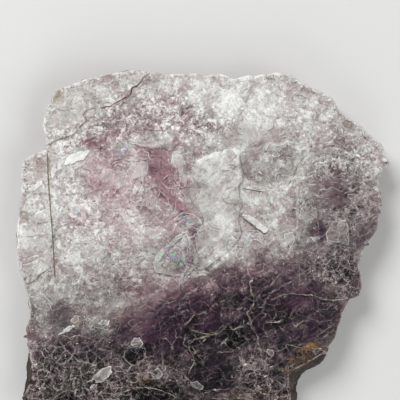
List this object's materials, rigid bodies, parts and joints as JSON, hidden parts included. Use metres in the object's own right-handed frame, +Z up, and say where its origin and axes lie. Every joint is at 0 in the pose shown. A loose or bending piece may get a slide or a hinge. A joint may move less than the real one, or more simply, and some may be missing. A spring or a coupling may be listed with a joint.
{
  "type": "mica crystal",
  "caption": "Natural book of lilac mica lying on its back: a broad flaky cleavage face, cracks across it, and a laminated broken edge.",
  "frame": {"origin": "under the middle of the crystal, at the level of the flat back face that it rests on", "axes": "+Z up, square to the cleavage; +X across the front face; +Y towards the edge at the top of the face"},
  "size_m": [0.1122, 0.108, 0.011],
  "materials": {
    "mica": "pearly cleavage face, pale silver and lilac above and dark purple below, with pale sheet edges, rust stains and a matte laminated side"
  },
  "bodies": {
    "root": {"mica_crystal": "mica"}
  },
  "joints": []
}
